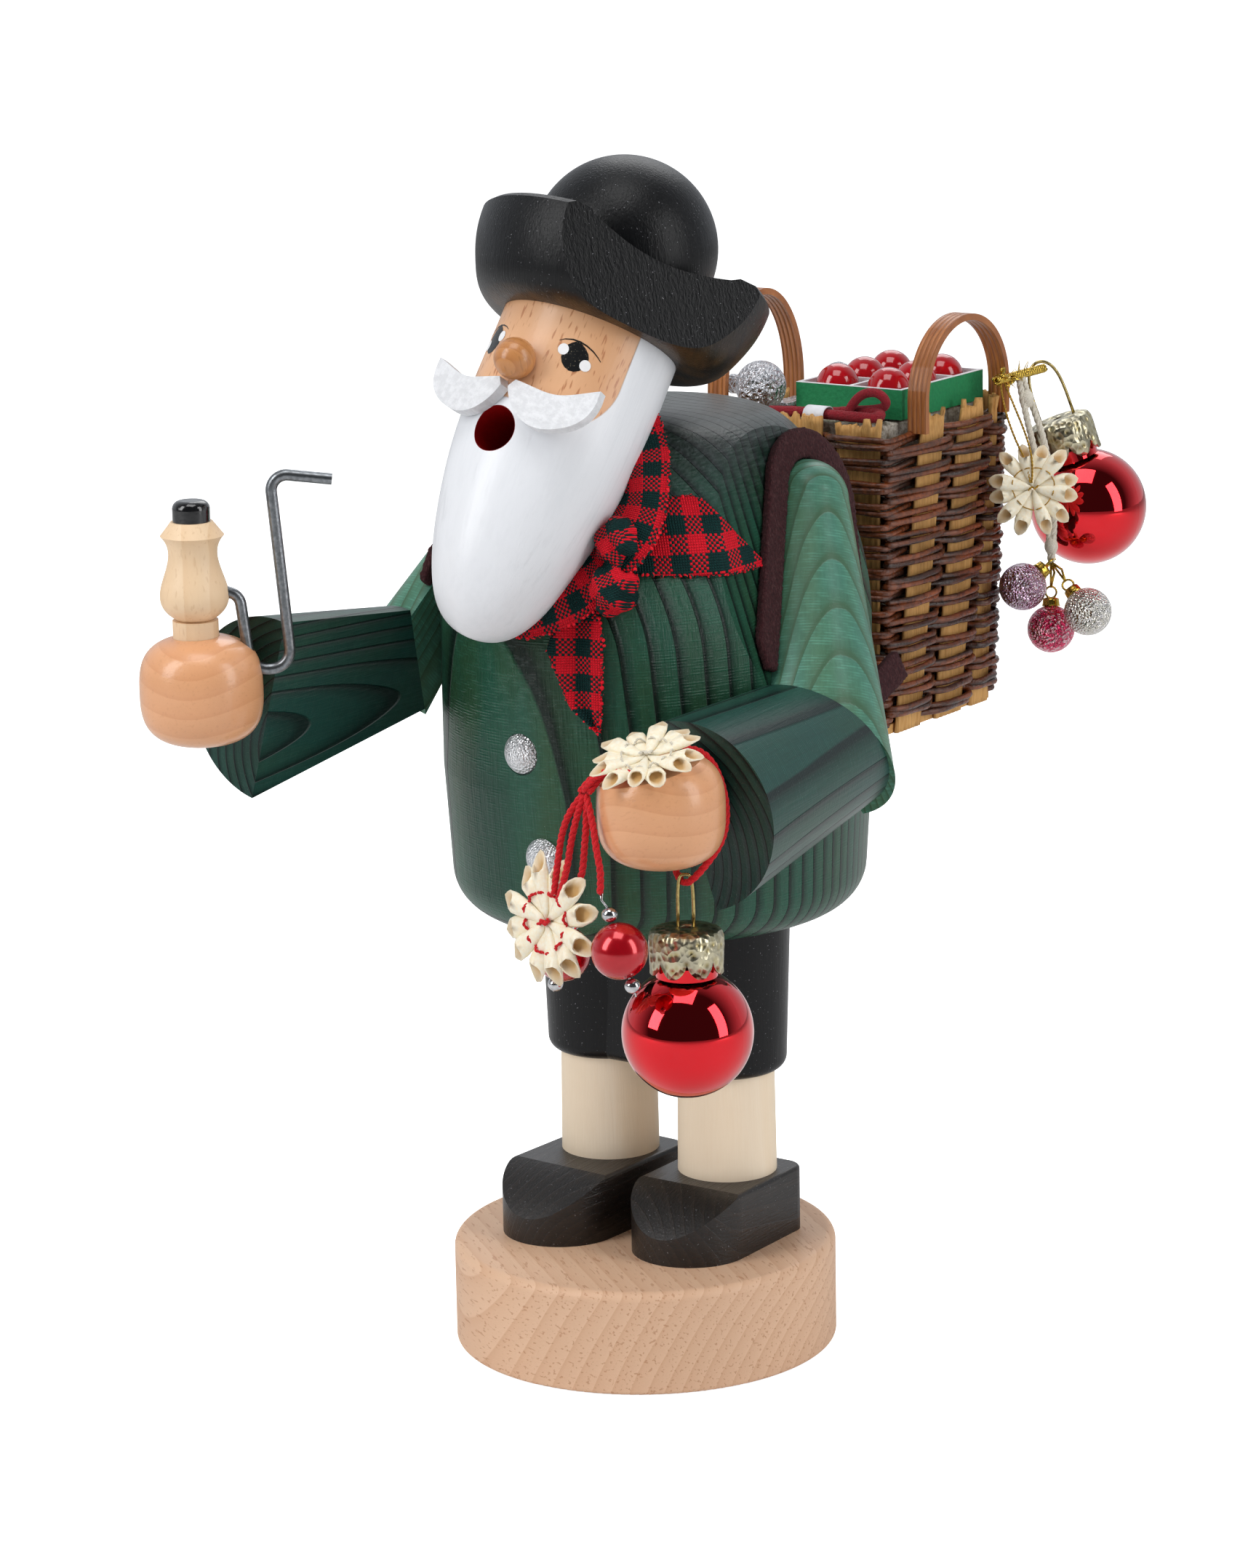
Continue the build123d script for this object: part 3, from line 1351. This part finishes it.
def ball_with_cap(centre, radius, hook):
    """A blown ball with its short neck, and the metal cap over the neck, turned towards the hook."""
    centre = Vector(*centre)
    hook = Vector(*hook)
    up = (hook - centre).normalized()
    neck_radius = radius * ball_neck_radius_share
    neck_top = radius * ball_neck_top_share
    cap_radius = radius * cap_radius_share
    cap_height = radius * cap_height_share
    cap_base = radius * cap_base_share
    cap_plane = Plane(centre + up * cap_base, x_dir=(1, 0, 0) if abs(up.X) < 1 / 2 else (0, 1, 0),
                      z_dir=up)
    with BuildPart() as cap:
        with BuildSketch(cap_plane):
            Circle(cap_radius)
        extrude(amount=cap_height)
        fillet(cap.edges().filter_by(GeomType.CIRCLE).sort_by(Axis(centre, up))[-1], cap_edge)
        with BuildSketch(cap_plane):
            Circle(neck_radius + glue_gap)
        extrude(amount=neck_top + glue_gap - cap_base, mode=Mode.SUBTRACT)
        with Locations(centre):
            Sphere(radius + glue_gap, mode=Mode.SUBTRACT)
    with BuildPart() as ball:
        with Locations(centre):
            Sphere(radius)
        with BuildSketch(Plane(centre, x_dir=cap_plane.x_dir, z_dir=up)):
            Circle(neck_radius)
        extrude(amount=neck_top)
    cap_top = cap_base + cap_height
    reach = (hook - centre).length
    return ball, cap, cap_top, reach, up


def wire_loop(centre, up, across, foot, reach, radius):
    """A wire eye: a straight shank from the cap, then a ring round the hook."""
    eye_radius = loop_inner + radius
    eye_plane = Plane(centre + up * reach, x_dir=up, z_dir=up.cross(across))
    with BuildPart() as wire:
        with Locations(eye_plane):
            Torus(eye_radius, radius)
        shank = Plane(centre + up * foot, x_dir=across, z_dir=up)
        with BuildSketch(shank):
            Circle(radius)
        extrude(amount=reach - foot - eye_radius)
    return wire


def hang_ball(centre, radius, hook, across, prefix):
    """Write a ball, its cap and its wire eye."""
    ball, cap, cap_top, reach, up = ball_with_cap(centre, radius, hook)
    across = (Vector(*across) - up * up.dot(Vector(*across))).normalized()
    wire = wire_loop(Vector(*centre), up, across, cap_top + glue_gap, reach, wire_radius)
    finish_piece(ball, prefix + "_ball")
    finish_piece(cap, prefix + "_cap")
    finish_piece(wire, prefix + "_wire")


hand_bauble_place = (hand_bauble_x, hand_bauble_y, hand_bauble_z - hand_ball_drop)
hang_ball(hand_bauble_place, hand_ball_radius, (hand_bauble_x, hand_bauble_y, hand_bauble_z),
          (0, 1, 0), "hand_bauble")

wrist = wrist_planes[1]
wrist_side = wrist.x_dir
wrist_rise = wrist.z_dir.cross(wrist_side)
if wrist_rise.Z < 0:
    wrist_rise = -wrist_rise
crevice = wrist.origin + wrist.z_dir * (wrist_dowel_reach + sling_wrist)
hook = Vector(hand_bauble_x, hand_bauble_y, hand_bauble_z)
corner_out = wrist_side * sling_reach
corner_up = wrist_rise * sling_reach
hook_low = Vector(sling_bottom, 0, 0)
sling_points = [crevice + corner_up - wrist_side * sling_wrist,
                crevice + corner_up - corner_out, crevice - corner_up - corner_out,
                hook - hook_low, hook + hook_low,
                crevice - corner_up + corner_out, crevice + corner_up + corner_out,
                crevice + corner_up + wrist_side * sling_wrist]
finish_piece(cord(sling_points, yarn_radius, sling_bend), "hand_sling")


# Charms on red strands: a straw star and two pearls

charms_hook = Vector(charms_x, charms_y, charms_z)
charm_star_place = Vector(charm_star_x, charm_star_y, charm_star_z)
pearl_place = Vector(pearl_x, pearl_y, pearl_z)
second_pearl_place = Vector(second_pearl_x, second_pearl_y, second_pearl_z)

with BuildPart() as charm_star:
    add(star(charm_star_place, charm_star_radius, charm_star_azimuth, charm_star_height,
             star_thickness).part)
finish_piece(charm_star, "charm_star")

with BuildPart() as charm_pearls:
    with Locations(pearl_place, second_pearl_place):
        Sphere(pearl_radius)
finish_piece(charm_pearls, "charm_pearls")


def strand(start, centre, stop_short, radius):
    """A straight cord from a knot to the surface of what it carries."""
    way = Vector(*centre) - Vector(*start)
    with BuildPart() as run:
        with BuildSketch(Plane(Vector(*start), z_dir=way)):
            Circle(radius)
        extrude(amount=way.length - stop_short)
    return run


with BuildPart() as charm_strands:
    with Locations(charms_hook):
        Sphere(knot_bead_radius)
    for goal, stop in ((charm_star_place, charm_star_radius), (pearl_place, pearl_radius),
                       (second_pearl_place, pearl_radius)):
        add(strand(charms_hook, goal, stop + glue_gap, strand_radius).part)
finish_piece(charm_strands, "charm_strands")


# Ornaments tied behind the left handle

hang_ball((rear_ball_x, rear_ball_y, rear_ball_z), rear_ball_radius, (tie_x, rear_hook_y, tie_z),
          (1, 0, 0), "rear_bauble")

rear_star_place = Vector(rear_star_x, rear_star_y, rear_star_z)
rear_star_hook = Vector(tie_x, rear_star_hook_y, tie_z)
with BuildPart() as rear_star:
    add(star(rear_star_place, rear_star_radius, rear_star_azimuth, rear_star_height, star_thickness).part)
finish_piece(rear_star, "rear_star")
star_way = (rear_star_hook - rear_star_place).normalized()
star_across = (Vector(1, 0, 0) - star_way * star_way.X).normalized()
with BuildPart() as rear_star_thread:
    add(wire_loop(rear_star_place, star_way, star_across, rear_star_radius * star_waist_share / 2,
                  (rear_star_hook - rear_star_place).length, wire_radius).part)
    add(star(rear_star_place, rear_star_radius + glue_gap, rear_star_azimuth, rear_star_height,
             star_thickness + 2 * glue_gap).part, mode=Mode.SUBTRACT)
finish_piece(rear_star_thread, "rear_star_thread")

cluster_hook = Vector(tie_x, cluster_hook_y, tie_z)
cluster_end = Vector(cluster_end_x, cluster_hook_y, cluster_end_z)
cluster_way = (cluster_hook - cluster_end).normalized()
glitter_places = [Vector(lilac_x, lilac_y, lilac_z), Vector(pink_x, pink_y, pink_z),
                  Vector(silver_x, silver_y, silver_z)]
with BuildPart() as glitter_balls:
    with Locations(*glitter_places):
        Sphere(glitter_radius)
finish_piece(glitter_balls, "glitter_balls")

with BuildPart() as cluster_cord:
    with Locations(cluster_end):
        Sphere(knot_bead_radius)
    add(wire_loop(cluster_end, cluster_way, (Vector(1, 0, 0) - cluster_way * cluster_way.X).normalized(),
                  0, (cluster_hook - cluster_end).length, yarn_radius).part)
    for goal in glitter_places:
        add(strand(cluster_end, goal, glitter_radius + glue_gap, strand_radius).part)
finish_piece(cluster_cord, "cluster_cord")
